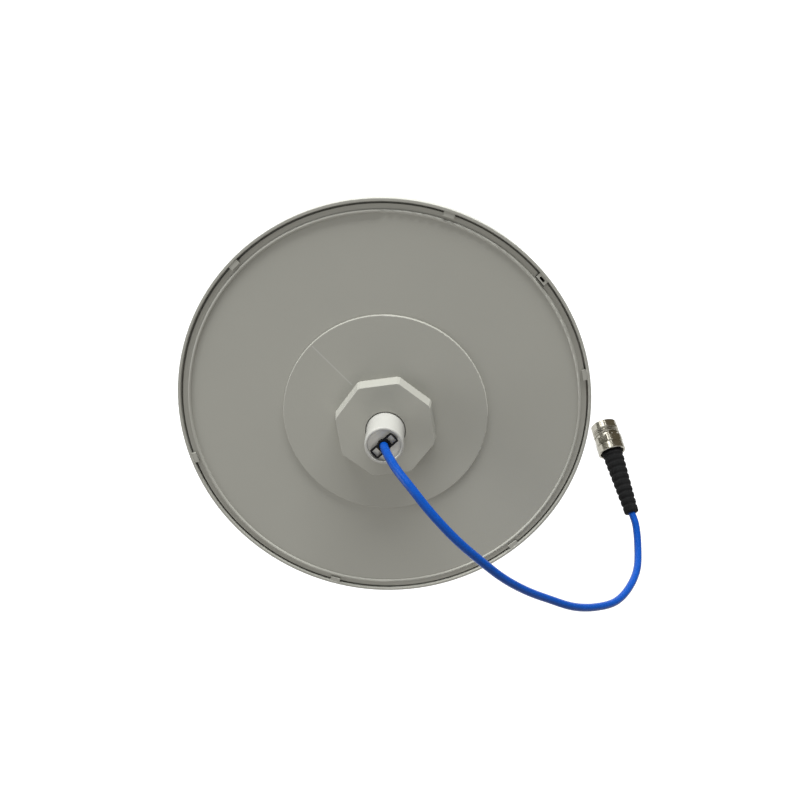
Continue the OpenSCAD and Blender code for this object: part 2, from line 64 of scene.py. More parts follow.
# An empty scene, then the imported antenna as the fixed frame
for leftover in list(bpy.data.objects):
    bpy.data.objects.remove(leftover)
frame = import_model()
NODES = frame["nodes"]
MOUNTS = {mount["name"]: mount for mount in frame["record"]["mounts"]}
JACK = MOUNTS["rf_jack"]
MM = 0.001

# The plug's axis, and the boot's thin end, found from the jack's mount in the middle of the barrel
PLUG_AXIS = Vector(JACK["axis"]).normalized()
JACK_MOUNT = 56.75 * MM
BOOT_END = Vector(JACK["pos_m"]) - PLUG_AXIS * JACK_MOUNT
PLUG = (Matrix.Translation(BOOT_END) @ Matrix.Rotation(math.atan2(PLUG_AXIS.y, PLUG_AXIS.x), 4, "Z")
        @ Matrix.Rotation(math.acos(PLUG_AXIS.z), 4, "Y"))

# The cable's free points from the tube's end to the boot, in millimetres from the middle of that end.
# They are as built, apart from the top one: 0.04 mm lower, it keeps the cable inside the built box.
TUBE_END = 19.6 * MM
CABLE_ROUTE = [
    (1.3, -0.5, 6), (3.4, -1.6, 12.5), (6.8, -4.1, 19.4), (12.8, -9.2, 26.4), (21.5, -18.6, 32.2),
    (32.5, -30.5, 34.86), (44.5, -43, 33.4), (56, -55, 29.4), (68, -65.5, 23.9), (81, -75, 17.4),
    (94.5, -83.5, 11.4), (108, -89.5, 3.4), (121.5, -93, -6.6), (132, -92.5, -19.1),
    (140, -89.5, -33.6), (143.8, -83.3, -48.5)]

# White, the tube's direction and the turn from one side of a hexagon to the next
WHITE = (1, 1, 1, 1)
UP = (0, 0, 1)
SIXTH = math.pi / 3


def linear(code):
    """An sRGB hex colour as linear red, green, blue and alpha."""
    channels = [int(code[i:i + 2], 16) / 255 for i in (1, 3, 5)]
    return [c / 12.92 if c <= 0.04045 else ((c + 0.055) / 1.055) ** 2.4 for c in channels] + [1.0]


def length(name, description, millimetres):
    """A size that a user may change, kept in metres."""
    return FloatProperty(name=name, description=description, default=millimetres * MM, min=0,
                         precision=5, subtype="DISTANCE", unit="LENGTH")


def colour(name, description, code):
    """A colour that a user may change, given as sRGB hex."""
    return FloatVectorProperty(name=name, description=description, default=linear(code), size=4,
                               min=0, max=1, subtype="COLOR")


class AntennaSizes(bpy.types.PropertyGroup):
    """Sizes of the pieces that are modelled here.

    They repeat the solids' sizes, apart from the clip's thinner frames and the barrel's smaller bevel. The
    clip's teeth and the thread are drawn only here.
    """
    cable_d: length("Cable", "Outside diameter of the cable's jacket", 4.14)
    cable_tube: length("Cable in the tube", "Length of the cable from its feed to the tube's end", 37.5)
    cable_plug: length("Cable in the plug", "Length of the cable from the boot's thin end into the jack",
                       43.8)
    cable_run: length("Cable before the boot", "Straight length of the cable before the boot", 8)
    recess: length("Recess", "Depth of the recess in the tube's end", 1.6)
    clip_r: length("Clip reach", "Radius of the clip's ends", 7.2)
    clip_w: length("Clip width", "Width of the clip's two frames", 5.6)
    clip_h: length("Clip thickness", "Thickness of the clip", 1.5)
    clip_frame: length("Clip frame", "Thickness of the clip's two frames, which lie level with its top", 0.7)
    clip_bar: length("Clip bar", "Width of the clip's bars", 1)
    clip_hole: length("Clip hole", "Radius of the clip's hole for the cable", 2.27)
    clip_collar: length("Clip collar", "Radius of the clip's toothed collar", 3.3)
    clip_teeth: IntProperty(name="Clip teeth", description="Notches round the clip's collar", default=14)
    clip_turn: FloatProperty(name="Clip turn", description="Angle of the clip in the recess",
                             default=math.radians(43), subtype="ANGLE", unit="ROTATION")
    boot_l: length("Boot", "Length of the boot", 44)
    boot_taper: length("Boot taper", "Length of the boot's ribbed taper", 39)
    boot_r1: length("Boot at the cable", "Radius of the boot's thin end", 4.1)
    boot_r2: length("Boot at the jack", "Radius of the boot's thick end", 6.1)
    boot_ribs: IntProperty(name="Boot ribs", description="Grooves round the boot", default=9)
    boot_groove: length("Boot groove", "Depth of the grooves between the ribs", 0.5)
    boot_bore: length("Boot bore", "Radius of the boot's hole for the cable", 2.12)
    sleeve_bore: length("Sleeve bore", "Radius of the hole for the crimp sleeve", 3.27)
    sleeve_start: length("Sleeve start", "Where the crimp sleeve starts in the boot", 31.95)
    jack_start: length("Jack", "Where the jack's rear face lies along the plug", 41)
    socket_r: length("Jack socket", "Radius of the recess that takes the boot", 7.1)
    socket_h: length("Jack socket depth", "Depth of the recess that takes the boot", 3)
    collar_r: length("Jack collar", "Radius of the jack's rear collar", 8.3)
    collar_l: length("Jack collar length", "Length of the jack's rear collar", 5)
    hex_af: length("Hexagon", "Width across the hexagon's flats", 16)
    hex_turned_r: length("Hexagon corners", "Radius of the hexagon's turned corners", 8.54)
    hex_l: length("Hexagon length", "Length of the hexagon", 5)
    neck_r: length("Neck", "Radius of the neck behind the thread", 7.5)
    neck_l: length("Neck length", "Length of the neck", 1.5)
    barrel_r: length("Thread", "Outside radius of the thread", 7.94)
    barrel_l: length("Thread length", "Length of the threaded barrel", 8.5)
    thread_l: length("Threaded length", "Length of the thread behind the barrel's plain front", 4.3)
    thread_pitch: length("Thread pitch", "Pitch of the 5/8-24 thread", 1.058)
    thread_depth: length("Thread depth", "Depth of the thread", 0.55)
    insulator_r: length("Insulator bore", "Radius of the bore for the insulator", 3.55)
    front_r: length("Front bore", "Radius of the jack's front bore", 4.05)
    front_start: length("Front bore start", "Where the front bore starts along the plug", 51.5)
    bevel: length("Bevel", "Bevel of the jack's turned edges", 0.4)


class AntennaColours(bpy.types.PropertyGroup):
    """Colours of the finishes."""
    grey_abs: colour("Grey ABS", "Base plate and dome", "#9D9C93")
    white_abs: colour("White ABS", "Mounting tube", "#ABAAA3")
    black_nylon: colour("Black nylon", "Cable clip and tube ring", "#0D0D0D")
    natural_nylon: colour("Natural nylon", "Standoffs", "#E4E1D6")
    blue_jacket: colour("Blue jacket", "Cable", "#0B4190")
    rubber: colour("Rubber", "Boot", "#181818")
    nickel: colour("Nickel", "Jack and crimp sleeve", "#9E9B90")
    gold: colour("Gold", "Centre contact", "#D9B25A")
    fluoropolymer: colour("White insulator", "Insulators", "#EFEFEA")
    brass: colour("Brass", "Feed ferrule", "#C9A557")
    silver: colour("Silver", "Feed wire", "#D4D3CE")
    aluminium: colour("Aluminium", "Ground plane and cone", "#C9CBCC")
    zinc: colour("Zinc plate", "Screws", "#B7BABD")


class AntennaStage(bpy.types.PropertyGroup):
    """Camera, lamps, panels and floor."""
    camera_place: FloatVectorProperty(
        name="Camera", description="Where the camera stands", default=(0.0153, 0.1316, 0.3382),
        precision=4, subtype="TRANSLATION", unit="LENGTH")
    camera_look: FloatVectorProperty(
        name="Line of sight", description="Where the camera looks", default=(0.01549, -0.42593, -0.90462),
        precision=5, subtype="DIRECTION")
    camera_top: FloatVectorProperty(
        name="Camera's top", description="What points up in the picture",
        default=(0.00346, 0.90475, -0.42593), precision=5, subtype="DIRECTION")
    camera_lens: FloatProperty(
        name="Lens", description="Focal length on a sensor 36 mm wide", default=32.92, unit="CAMERA")
    camera_shift: FloatVectorProperty(
        name="Shift", description="Shift of the picture, in picture widths", size=2,
        default=(-0.0350, 0.1017), precision=4)
    sky: FloatProperty(
        name="Sky", description="Even light from all round", default=0.28, min=0)
    key_power: FloatProperty(
        name="Key lamp", description="Power of the low lamp behind the disc", default=106, min=0,
        unit="POWER")
    key_place: FloatVectorProperty(
        name="Key lamp's place", description="Where the low lamp stands", default=(0.08, 2.18, 0.29),
        subtype="TRANSLATION", unit="LENGTH")
    key_size: FloatVectorProperty(
        name="Key lamp's size", description="Width and height of the low lamp", size=2, default=(2.2, 0.5),
        unit="LENGTH")
    key_colour: colour("Key lamp's colour", "Daylight of the low lamp and the lamp on the left", "#FAFCFF")
    fill_power: FloatProperty(
        name="Fill lamp", description="Power of the lamp on the left", default=20, min=0, unit="POWER")
    fill_place: FloatVectorProperty(
        name="Fill lamp's place", description="Where the lamp on the left stands", default=(-2.1, 0.1, 0.55),
        subtype="TRANSLATION", unit="LENGTH")
    fill_size: FloatVectorProperty(
        name="Fill lamp's size", description="Width and height of the lamp on the left", size=2,
        default=(1.6, 0.9), unit="LENGTH")
    front_power: FloatProperty(
        name="Front lamp", description="Power of the high lamp in front of the disc", default=12, min=0,
        unit="POWER")
    front_place: FloatVectorProperty(
        name="Front lamp's place", description="Where the high lamp stands", default=(0.1, -1.5, 1.6),
        subtype="TRANSLATION", unit="LENGTH")
    front_size: FloatVectorProperty(
        name="Front lamp's size", description="Width and height of the high lamp", size=2,
        default=(1.2, 1.2), unit="LENGTH")
    front_colour: colour("Front lamp's colour", "Warm light of the high lamp", "#FFFAF4")
    card_warm: colour("Warm card", "Panel that darkens the right of the jack's shine", "#847C6C")
    card_grey: colour("Grey card", "Panel that darkens the middle of the jack's shine", "#8A8A82")
    window_glow: FloatProperty(
        name="Windows", description="Strength of the bright strips in the jack's and the cable's shine",
        default=5, min=0)
    floor_z: FloatProperty(
        name="Floor", description="Level of the floor below the hanging dome", default=-0.5,
        subtype="DISTANCE", unit="LENGTH")
    paper: colour("Paper", "Floor", "#E6E6E6")


# Materials

# The colour mix node's sockets go by number, because several share a name
MIX_FACTOR, MIX_FIRST, MIX_SECOND = 0, 6, 7
MIX_RESULT = 2

# Nearly all values of a noise lie between these two
NOISE_LOW, NOISE_HIGH = 0.3, 0.7


def add(tree, kind, inputs=None, **settings):
    """Adds one node with its settings; an input is a constant or the socket that feeds it."""
    node = tree.nodes.new(kind)
    for name, value in settings.items():
        setattr(node, name, value)
    for name, value in (inputs or {}).items():
        if isinstance(value, bpy.types.NodeSocket):
            tree.links.new(value, node.inputs[name])
        else:
            node.inputs[name].default_value = value
    return node


def shade(tint, factor):
    """A colour made darker or lighter by a factor."""
    return [min(1.0, c * factor) for c in tint[:3]] + [1.0]


def surface(name, tint, mottle, grain, rough, relief, depth, stretch=(1, 1, 1), axis=None, **constants):
    """A material of one substance.

    Its colour drifts by depth over patches mottle wide, its roughness runs over the two values of rough,
    and a grain of the given width stands out by relief. Stretch draws the grain out along an axis, and
    axis gives a turned piece rings round that line. The real grain and rings are mostly too fine to show
    in a picture of the whole antenna, so they are drawn as coarse as they need to be.
    """
    material = bpy.data.materials.new(name)
    material.use_nodes = True
    tree = material.node_tree
    shader = tree.nodes["Principled BSDF"]
    for socket, value in constants.items():
        shader.inputs[socket.replace("_", " ")].default_value = value
    place = add(tree, "ShaderNodeTexCoord").outputs["Object"]
    patch = add(tree, "ShaderNodeTexNoise", {"Vector": place, "Scale": 1 / mottle, "Detail": 4.0})
    fine_inputs = {"Scale": 1 / grain, "Detail": 3.0}
    if axis is None:
        drawn = add(tree, "ShaderNodeMapping", {"Vector": place, "Scale": [1 / s for s in stretch]})
        fine = add(tree, "ShaderNodeTexNoise", {"Vector": drawn.outputs["Vector"], **fine_inputs})
    else:
        along = add(tree, "ShaderNodeVectorMath", {0: place, 1: tuple(axis)}, operation="DOT_PRODUCT")
        fine = add(tree, "ShaderNodeTexNoise", noise_dimensions="1D",
                   inputs={"W": along.outputs["Value"], **fine_inputs})
    patch_share, fine_share = 0.7, 0.3
    mixed = add(tree, "ShaderNodeMath", {0: patch.outputs["Fac"], 1: patch_share}, operation="MULTIPLY")
    mixed = add(tree, "ShaderNodeMath", {0: fine.outputs["Fac"], 1: fine_share, 2: mixed.outputs["Value"]},
                operation="MULTIPLY_ADD")
    noise = {"Value": mixed.outputs["Value"], "From Min": NOISE_LOW, "From Max": NOISE_HIGH}
    drift = add(tree, "ShaderNodeMapRange", noise)
    tinted = add(tree, "ShaderNodeMix", data_type="RGBA", inputs={
        MIX_FACTOR: drift.outputs["Result"], MIX_FIRST: shade(tint, 1 - depth),
        MIX_SECOND: shade(tint, 1 + depth)})
    gloss = add(tree, "ShaderNodeMapRange", {**noise, "To Min": rough[0], "To Max": rough[1]})
    bump = add(tree, "ShaderNodeBump", {"Height": fine.outputs["Fac"], "Distance": relief, "Strength": 1.0})
    tree.links.new(tinted.outputs[MIX_RESULT], shader.inputs["Base Color"])
    tree.links.new(gloss.outputs["Result"], shader.inputs["Roughness"])
    tree.links.new(bump.outputs["Normal"], shader.inputs["Normal"])
    return material


def recolour(material, mask, tint):
    """Gives a material a second colour where the mask, a socket, is high."""
    tree = material.node_tree
    base = tree.nodes["Principled BSDF"].inputs["Base Color"]
    plain = base.links[0].from_socket
    mixed = add(tree, "ShaderNodeMix", {MIX_FACTOR: mask, MIX_FIRST: plain, MIX_SECOND: tint},
                data_type="RGBA")
    tree.links.new(mixed.outputs[MIX_RESULT], base)


def moulded_grey_abs(colours):
    """ABS from a spark-eroded mould: an even satin grey with soft clouds of flow."""
    return surface("moulded ABS, grey satin", colours.grey_abs, mottle=40 * MM, grain=0.5 * MM,
                   rough=(0.42, 0.56), relief=0.012 * MM, depth=0.025, IOR=1.53)


def weld_line(material, start, end, width, strength):
    """A pale hairline in a moulding, from start to end in X and Y, where two flows of plastic met."""
    tree = material.node_tree
    along = (end - start).normalized()
    side = Vector((-along.y, along.x, 0))
    place = add(tree, "ShaderNodeTexCoord").outputs["Object"]
    run = add(tree, "ShaderNodeVectorMath", {0: place, 1: along}, operation="DOT_PRODUCT").outputs["Value"]
    off = add(tree, "ShaderNodeVectorMath", {0: place, 1: side}, operation="DOT_PRODUCT").outputs["Value"]
    off = add(tree, "ShaderNodeMath", {0: off, 1: start.dot(side)}, operation="SUBTRACT").outputs["Value"]
    off = add(tree, "ShaderNodeMath", {0: off}, operation="ABSOLUTE").outputs["Value"]
    mask = add(tree, "ShaderNodeMapRange", {"Value": off, "From Min": 0.0, "From Max": width,
                                            "To Min": strength, "To Max": 0.0}).outputs["Result"]
    for place_on_line, test in ((start, "GREATER_THAN"), (end, "LESS_THAN")):
        within = add(tree, "ShaderNodeMath", {0: run, 1: place_on_line.dot(along)}, operation=test)
        mask = add(tree, "ShaderNodeMath", {0: mask, 1: within.outputs["Value"]},
                   operation="MULTIPLY").outputs["Value"]
    recolour(material, mask, WHITE)


def moulded_white_abs(colours):
    """ABS from a smooth mould: whiter and a little glossier than the plate."""
    return surface("moulded ABS, white", colours.white_abs, mottle=8 * MM, grain=0.4 * MM,
                   rough=(0.34, 0.46), relief=0.006 * MM, depth=0.02, IOR=1.53)


def paint_light_on_floor(material, tint, level, reach):
    """Paints light onto a recess's floor as a lighter tint, because the recess's own shade leaves it too
    dark.

    The floor is what faces up and lies within reach of a level.
    """
    facing_up = 0.5
    tree = material.node_tree
    coordinate = add(tree, "ShaderNodeTexCoord")
    height = add(tree, "ShaderNodeSeparateXYZ", {"Vector": coordinate.outputs["Object"]}).outputs["Z"]
    upward = add(tree, "ShaderNodeSeparateXYZ", {"Vector": coordinate.outputs["Normal"]}).outputs["Z"]
    near = add(tree, "ShaderNodeMath", {0: height, 1: level, 2: reach}, operation="COMPARE").outputs["Value"]
    mask = add(tree, "ShaderNodeMath", {0: upward, 1: facing_up}, operation="GREATER_THAN").outputs["Value"]
    mask = add(tree, "ShaderNodeMath", {0: near, 1: mask}, operation="MULTIPLY").outputs["Value"]
    recolour(material, mask, tint)


def moulded_black_nylon(colours):
    """Black nylon: dull, with a fine dry grain."""
    return surface("moulded nylon, black", colours.black_nylon, mottle=4 * MM, grain=0.3 * MM,
                   rough=(0.5, 0.66), relief=0.012 * MM, depth=0.25, IOR=1.53, Specular_IOR_Level=0.15)


def turned_natural_nylon(colours):
    """Undyed nylon rod: milky, with fine turning rings."""
    return surface("turned nylon, natural", colours.natural_nylon, mottle=12 * MM, grain=0.4 * MM,
                   rough=(0.38, 0.5), relief=0.008 * MM, depth=0.04, axis=UP, IOR=1.53)


def extruded_blue_jacket(colours):
    """Fluoropolymer jacket drawn over a braid: deep glossy blue, faintly uneven along its length."""
    return surface("extruded FEP jacket, blue", colours.blue_jacket, mottle=5 * MM, grain=1.4 * MM,
                   rough=(0.2, 0.34), relief=0.03 * MM, depth=0.08, IOR=1.35, Specular_IOR_Level=0.27)


def moulded_rubber(colours):
    """Black rubber: almost no shine, with a grey bloom in patches."""
    return surface("moulded rubber, black", colours.rubber, mottle=3 * MM, grain=0.35 * MM,
                   rough=(0.72, 0.88), relief=0.02 * MM, depth=0.22, IOR=1.52, Specular_IOR_Level=0.12)


def plated_nickel(colours):
    """Nickel plate on turned brass: warm silver with fine turning rings and slight tarnish."""
    return surface("nickel plate on turned brass", colours.nickel, mottle=3.5 * MM, grain=0.3 * MM,
                   rough=(0.14, 0.26), relief=0.003 * MM, depth=0.06, axis=PLUG_AXIS, Metallic=1.0)


def plated_gold(colours):
    """Gold plate on turned bronze: warm yellow with fine rings."""
    return surface("gold plate on turned bronze", colours.gold, mottle=1.5 * MM, grain=0.2 * MM,
                   rough=(0.15, 0.3), relief=0.003 * MM, depth=0.1, axis=PLUG_AXIS, Metallic=1.0)


def turned_white_insulator(name, axis, colours):
    """Turned PTFE: waxy white with faint rings."""
    return surface(name, colours.fluoropolymer, mottle=4 * MM, grain=0.3 * MM,
                   rough=(0.4, 0.52), relief=0.008 * MM, depth=0.03, axis=axis, IOR=1.38)


def turned_brass(colours):
    """Turned brass: bright yellow metal with fine rings."""
    return surface("turned brass", colours.brass, mottle=4 * MM, grain=0.3 * MM,
                   rough=(0.22, 0.38), relief=0.005 * MM, depth=0.1, axis=UP, Metallic=1.0)


def drawn_silvered_wire(colours):
    """Silver plated copper wire: bright, with drawing lines along it."""
    return surface("silver plate on drawn copper", colours.silver, mottle=3 * MM, grain=0.1 * MM,
                   rough=(0.2, 0.35), relief=0.002 * MM, depth=0.08, stretch=(1, 1, 30), Metallic=1.0)


def rolled_aluminium(colours):
    """Aluminium sheet: pale grey, with rolling lines along X."""
    return surface("rolled aluminium sheet", colours.aluminium, mottle=30 * MM, grain=0.6 * MM,
                   rough=(0.28, 0.45), relief=0.006 * MM, depth=0.05, stretch=(40, 1, 1), Metallic=1.0)


def spun_aluminium(colours):
    """Spun aluminium: pale grey, with rings from the spinning roller."""
    return surface("spun aluminium", colours.aluminium, mottle=25 * MM, grain=0.7 * MM,
                   rough=(0.25, 0.42), relief=0.01 * MM, depth=0.05, axis=UP, Metallic=1.0)


def plated_zinc(colours):
    """Zinc plated steel: bluish grey with cloudy patches."""
    return surface("zinc plate on steel", colours.zinc, mottle=1.8 * MM, grain=0.2 * MM,
                   rough=(0.28, 0.48), relief=0.005 * MM, depth=0.12, Metallic=1.0)


def dress(material, *names):
    """Gives built solids a material."""
    for name in names:
        for slot in NODES[name].material_slots:
            slot.material = material


# Shapes


def seat(obj, material, slot, *replaced):
    """Puts a new piece into the scene, on the antenna's one body, in place of the solids it stands for."""
    obj.data.materials.append(material)
    bpy.context.scene.collection.objects.link(obj)
    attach(obj, "root")
    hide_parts(*replaced)


def revolve(name, outline, angles, radius=None, place=Matrix.Identity(4), crease=30):
    """A closed outline of (radius, height) points turned round Z; radius(r, z, angle) shapes it further."""
    shape = radius or (lambda r, z, angle: r)
    points, faces = [], []
    for angle in angles:
        for r, z in outline:
            reach = shape(r, z, angle)
            points.append((reach * math.cos(angle), reach * math.sin(angle), z))
    rows, count = len(angles), len(outline)
    for i in range(rows):
        here, there = i * count, (i + 1) % rows * count
        for j in range(count):
            up = (j + 1) % count
            faces.append((here + j, there + j, there + up, here + up))
    mesh = bpy.data.meshes.new(name)
    mesh.from_pydata(points, [], faces)
    mesh.transform(place)
    mesh.shade_smooth()
    mesh.set_sharp_from_angle(angle=math.radians(crease))
    return bpy.data.objects.new(name, mesh)


def turn(count):
    """Evenly spaced angles of a full turn."""
    return [2 * math.pi * i / count for i in range(count)]


def on_circle(radius, angles):
    """Points of a circle at the given angles."""
    return [(radius * math.cos(angle), radius * math.sin(angle)) for angle in angles]


def opposite(points):
    """Points turned half round the middle."""
    return [(-x, -y) for x, y in points]


def recess_floor(sizes):
    """Height of the floor of the recess in the tube's end."""
    return TUBE_END - sizes.recess


def smooth_line(points, steps):
    """The built cable's own curve through its points, with more steps a stretch."""
    line = []
    last = len(points) - 1
    for i in range(last):
        a, b, c, d = (points[max(0, min(last, k))] for k in (i - 1, i, i + 1, i + 2))
        for k in range(steps):
            t = k / steps
            line.append(0.5 * (2 * b + (c - a) * t + (2 * a - 5 * b + 4 * c - d) * t ** 2
                               + (3 * b - a - 3 * c + d) * t ** 3))
    return line + [points[-1]]


def tube_curve(name, line, diameter):
    """A round tube along a line."""
    curve = bpy.data.curves.new(name, "CURVE")
    curve.dimensions = "3D"
    curve.bevel_depth = diameter / 2
    curve.bevel_resolution = 6
    curve.use_fill_caps = True
    spline = curve.splines.new("POLY")
    spline.points.add(len(line) - 1)
    for point, place in zip(spline.points, line):
        point.co = (*place, 1)
    return bpy.data.objects.new(name, curve)


# Operators


class ANTENNA_OT_stage(bpy.types.Operator):
    """Sets the camera, the lamps, the panels, the white background and the floor"""
    bl_idname = "antenna.stage"
    bl_label = "Studio"

    def execute(self, context):
        scene = context.scene
        stage = scene.antenna_stage
        scene.view_settings.view_transform = "Standard"
        self.camera(scene, stage)
        self.sky(scene, stage)
        self.lamp(scene, "key lamp", stage.key_place, stage.key_power, stage.key_size, stage.key_colour,
                  shine=False)
        self.lamp(scene, "fill lamp", stage.fill_place, stage.fill_power, stage.fill_size, stage.key_colour,
                  shine=True)
        self.lamp(scene, "front lamp", stage.front_place, stage.front_power, stage.front_size,
                  stage.front_colour, shine=False)
        self.cards(scene, stage)
        self.floor(scene, stage)
        return {"FINISHED"}

    def camera(self, scene, stage):
        """The photograph's camera."""
        data = bpy.data.cameras.new("camera")
        data.sensor_width = 36
        data.lens = stage.camera_lens
        data.shift_x, data.shift_y = stage.camera_shift
        data.clip_start = 0.01
        look = Vector(stage.camera_look).normalized()
        right = look.cross(Vector(stage.camera_top)).normalized()
        turn_to = Matrix((right, right.cross(look), -look)).transposed().to_4x4()
        camera = bpy.data.objects.new("camera", data)
        camera.matrix_world = Matrix.Translation(Vector(stage.camera_place)) @ turn_to
        scene.collection.objects.link(camera)
        scene.camera = camera

    def sky(self, scene, stage):
        """A white background that gives an even, weaker light."""
        world = bpy.data.worlds.new("studio")
        world.use_nodes = True
        tree = world.node_tree
        strength = self.seen(tree, stage.sky, 1.0)
        tree.links.new(strength, tree.nodes["Background"].inputs["Strength"])
        tree.nodes["Background"].inputs["Color"].default_value = WHITE
        scene.world = world

    def seen(self, tree, unseen, shown):
        """A strength that is one value for what the eye, metal and glass see, and another as light."""
        path = add(tree, "ShaderNodeLightPath").outputs
        both = add(tree, "ShaderNodeMath", {0: path["Is Camera Ray"], 1: path["Is Glossy Ray"]},
                   operation="MAXIMUM")
        rays = add(tree, "ShaderNodeMath", {0: both.outputs["Value"], 1: path["Is Transmission Ray"]},
                   operation="MAXIMUM")
        strength = add(tree, "ShaderNodeMapRange",
                       {"Value": rays.outputs["Value"], "To Min": unseen, "To Max": shown})
        return strength.outputs["Result"]

    def lamp(self, scene, name, place, power, size, tint, shine):
        """A soft lamp that faces the antenna, and that shiny surfaces see only where shine is true."""
        data = bpy.data.lights.new(name, "AREA")
        data.shape = "RECTANGLE"
        data.size, data.size_y = size
        data.energy = power
        data.color = tint[:3]
        lamp = bpy.data.objects.new(name, data)
        lamp.location = place
        lamp.visible_glossy = shine
        lamp.rotation_euler = (-Vector(place)).to_track_quat("-Z", "Y").to_euler()
        scene.collection.objects.link(lamp)

    def cards(self, scene, stage):
        """What the jack and the cable's first bend mirror: two dim walls and three bright windows."""
        jack = JACK["pos_m"]
        bend = (0.012, -0.02)
        wall = (-0.45, 0.9)
        bright = stage.window_glow
        brighter = 1.4 * bright
        self.card(scene, "right card", jack, bearings=(-15, 93), levels=wall, distance=0.45,
                  tint=stage.card_warm, strength=1.0)
        self.card(scene, "middle card", jack, bearings=(97, 162), levels=wall, distance=1.0,
                  tint=stage.card_grey, strength=1.0)
        self.card(scene, "back window", jack, bearings=(92, 98), levels=(0.0, 0.9), distance=2.0,
                  tint=WHITE, strength=bright)
        self.card(scene, "left window", jack, bearings=(131, 138), levels=(-0.5, 0.3), distance=0.95,
                  tint=WHITE, strength=bright)
        self.card(scene, "cable window", bend, bearings=(98, 122), levels=(0.07, 0.2), distance=0.7,
                  tint=WHITE, strength=brighter)

    def card(self, scene, name, centre, bearings, levels, distance, tint, strength):
        """An upright panel that only shiny surfaces see.

        Seen from the centre it fills the view between two bearings, in degrees from +X, at a distance.
        """
        start, end = (math.radians(bearing) for bearing in bearings)
        reach = distance / math.cos((end - start) / 2)
        corners = [(centre[0] + reach * math.cos(angle), centre[1] + reach * math.sin(angle), level)
                   for angle in (start, end) for level in levels]
        mesh = bpy.data.meshes.new(name)
        mesh.from_pydata(corners, [], [(0, 2, 3, 1)])
        panel = bpy.data.objects.new(name, mesh)
        for ray in ("camera", "diffuse", "transmission", "volume_scatter", "shadow"):
            setattr(panel, "visible_" + ray, False)
        scene.collection.objects.link(panel)
        material = bpy.data.materials.new(name)
        material.use_nodes = True
        tree = material.node_tree
        glow = add(tree, "ShaderNodeEmission", {"Color": tint, "Strength": strength})
        tree.links.new(glow.outputs["Emission"], tree.nodes["Material Output"].inputs["Surface"])
        mesh.materials.append(material)

    def floor(self, scene, stage):
        """White paper that keeps its shadow near the object and farther off runs out into the white."""
        half = 6.0
        near, far = 0.8, 2.4
        near_glow, far_glow = 0.55, 1.0
        mesh = bpy.data.meshes.new("floor")
        corners = [(x * half, y * half, stage.floor_z) for x, y in ((-1, -1), (1, -1), (1, 1), (-1, 1))]
        mesh.from_pydata(corners, [], [(0, 1, 2, 3)])
        floor = bpy.data.objects.new("floor", mesh)
        scene.collection.objects.link(floor)
        material = bpy.data.materials.new("white paper")
        material.use_nodes = True
        tree = material.node_tree
        shader = tree.nodes["Principled BSDF"]
        shader.inputs["Base Color"].default_value = stage.paper
        shader.inputs["Roughness"].default_value = 0.9
        shader.inputs["Specular IOR Level"].default_value = 0.0
        shader.inputs["Emission Color"].default_value = WHITE
        place = add(tree, "ShaderNodeTexCoord").outputs["Object"]
        away = add(tree, "ShaderNodeVectorMath", {0: place}, operation="LENGTH").outputs["Value"]
        rise = add(tree, "ShaderNodeMapRange", {"Value": away, "From Min": near, "From Max": far,
                                                "To Min": near_glow, "To Max": far_glow}).outputs["Result"]
        glow = add(tree, "ShaderNodeMath", {0: self.seen(tree, 0.0, 1.0), 1: rise}, operation="MULTIPLY")
        tree.links.new(glow.outputs["Value"], shader.inputs["Emission Strength"])
        mesh.materials.append(material)


class ANTENNA_OT_mouldings(bpy.types.Operator):
    """Finishes the dome, the base plate and the mounting tube"""
    bl_idname = "antenna.mouldings"
    bl_label = "Mouldings"

    def execute(self, context):
        colours = context.scene.antenna_colours
        dress(moulded_grey_abs(colours), "radome")
        plate = moulded_grey_abs(colours)
        weld_line(plate, start=Vector((-34.7, 40.6, 0)) * MM, end=Vector((-16.3, 21.1, 0)) * MM,
                  width=0.45 * MM, strength=0.14)
        dress(plate, "base_plate")
        tube = moulded_white_abs(colours)
        # painted light: a lighter tint on the tube's recess floor makes up for the shade it sits in
        lighter = shade(colours.white_abs, factor=1.8)
        paint_light_on_floor(tube, lighter, level=recess_floor(context.scene.antenna_sizes), reach=0.3 * MM)
        dress(tube, "mount_tube")
        return {"FINISHED"}


